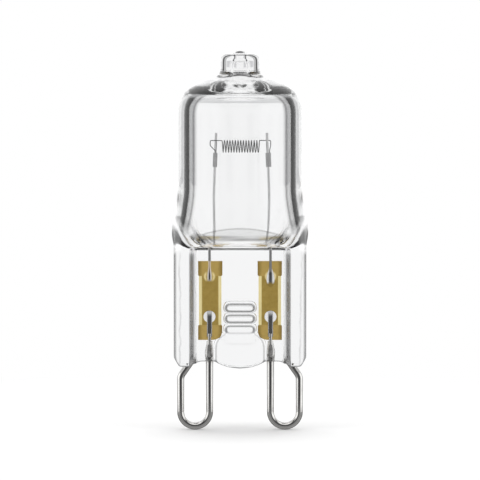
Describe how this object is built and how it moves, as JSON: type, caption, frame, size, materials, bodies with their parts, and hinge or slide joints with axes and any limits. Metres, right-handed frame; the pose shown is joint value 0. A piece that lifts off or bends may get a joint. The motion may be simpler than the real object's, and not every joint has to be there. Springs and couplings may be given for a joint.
{
  "type": "oven light bulb",
  "caption": "Small quartz capsule lamp with a round barrel, sealed exhaust tip, coiled filament, flat pinch seal and two looped wire pins.",
  "frame": {"origin": "midway between the two contact loops, level with the lowest point of the loops", "axes": "+Z along the lamp from the loops to the exhaust tip, +X across the pinch from the left loop to the right loop, +Y through the pinch away from the viewer"},
  "size_m": [0.0138, 0.0126, 0.038],
  "materials": {
    "quartz": "clear, fire-polished",
    "tungsten": "drawn wire, grey",
    "lead_wire": "drawn wire, bright",
    "clamp_metal": "crimped, satin",
    "foil": "thin foil, satin gold",
    "contact_wire": "polished wire"
  },
  "bodies": {
    "root": {"quartz_envelope": "quartz", "filament": "tungsten", "inner_lead_left": "lead_wire", "inner_lead_right": "lead_wire", "filament_clamp_left": "clamp_metal", "filament_clamp_right": "clamp_metal", "sealing_foil_left": "foil", "sealing_foil_right": "foil", "contact_loop_left": "contact_wire", "contact_loop_right": "contact_wire"}
  },
  "joints": []
}
